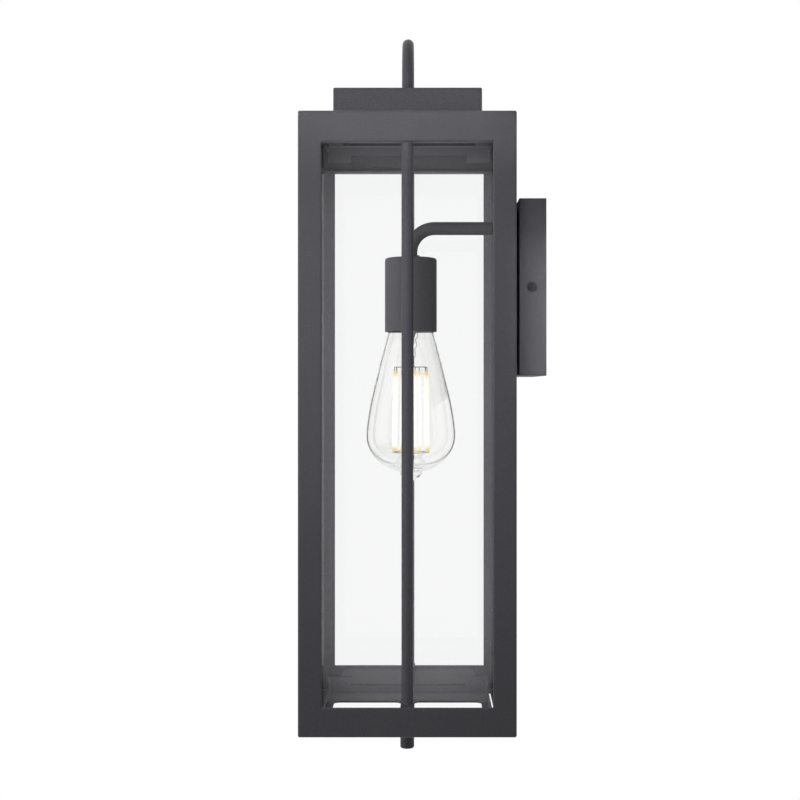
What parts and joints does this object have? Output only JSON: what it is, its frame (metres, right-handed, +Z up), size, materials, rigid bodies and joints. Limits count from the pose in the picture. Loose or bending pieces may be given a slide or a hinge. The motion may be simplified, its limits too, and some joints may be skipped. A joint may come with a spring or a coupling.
{
  "type": "outdoor wall lantern",
  "caption": "Tall square glazed wall lantern: metal frame with guard rods, square cap with a hoop on top, wall pan, downward socket with a filament-style lamp and a drop-out bottom tray.",
  "frame": {"origin": "centre of the wall pan on the wall plane", "axes": "+Z up, +Y into the wall, +X to the right of someone facing the wall"},
  "size_m": [0.146, 0.1668, 0.5069],
  "materials": {
    "powder_coat": "fine textured charcoal powder coat",
    "pane_glass": "clear, polished",
    "zinc_steel": "zinc plated",
    "black_screw": "black, smooth",
    "green_screw": "green plated",
    "socket_insulation": "moulded, dull",
    "socket_brass": "bright",
    "lamp_glass": "clear, polished",
    "lead_wire": "drawn wire",
    "phosphor": "matt silicone, glows warm white",
    "lamp_nickel": "nickel plated",
    "lamp_insulation": "black glass-like",
    "lamp_tip": "soldered"
  },
  "bodies": {
    "lantern": {"arm_nuts": "powder_coat", "back_plate": "powder_coat", "cap": "powder_coat", "glass_front": "pane_glass", "glass_left": "pane_glass", "glass_retainer": "powder_coat", "glass_right": "pane_glass", "ground_screw": "green_screw", "guard_rod_feet": "powder_coat", "guard_rod_front": "powder_coat", "guard_rod_left": "powder_coat", "guard_rod_right": "powder_coat", "hanging_loop": "powder_coat", "hanging_loop_nuts": "zinc_steel", "lower_bolt": "zinc_steel", "lower_bolt_nut": "zinc_steel", "mounting_bracket": "zinc_steel", "post_front_left": "powder_coat", "post_front_right": "powder_coat", "post_rear_left": "powder_coat", "post_rear_right": "powder_coat", "rail_bottom_front": "powder_coat", "rail_bottom_left": "powder_coat", "rail_bottom_rear": "powder_coat", "rail_bottom_right": "powder_coat", "rail_top_front": "powder_coat", "rail_top_left": "powder_coat", "rail_top_rear": "powder_coat", "rail_top_right": "powder_coat", "roof_plate": "powder_coat", "side_screws": "black_screw", "socket_arm": "powder_coat", "socket_body": "socket_insulation", "socket_centre_contact": "socket_brass", "socket_cup": "powder_coat", "socket_cup_nuts": "powder_coat", "socket_screw_shell": "socket_brass", "stand_off_spacers": "powder_coat", "wall_pan": "powder_coat"},
    "tray": {"bottom_tray": "powder_coat", "bottom_pull": "powder_coat", "bottom_pull_screw": "zinc_steel"},
    "lamp_tip": {"lamp_tip_contact": "lamp_tip"},
    "lamp": {"lamp_glass": "lamp_glass", "lamp_stem": "lamp_glass", "filament_wires": "lead_wire", "led_filaments": "phosphor", "lamp_base_shell": "lamp_nickel", "lamp_base_insulator": "lamp_insulation"}
  },
  "joints": [
    {"name": "tray_drop", "type": "slide", "parent": "lantern", "child": "tray", "axis": [0, 0, -1], "range_m": [0, 0.06]},
    {"name": "lamp_drop", "type": "slide", "parent": "lantern", "child": "lamp_tip", "axis": [0, 0, -1], "range_m": [0, 0.0109]},
    {"name": "lamp_turn", "type": "hinge", "parent": "lamp_tip", "child": "lamp", "pos_m": [0, -0.092, 0], "axis": [0, 0, -1], "range_deg": [0, 1080]}
  ],
  "couplings": [
    {"joint": "lamp_drop", "follows": "lamp_turn", "m_per_rad": 0.00057752}
  ]
}
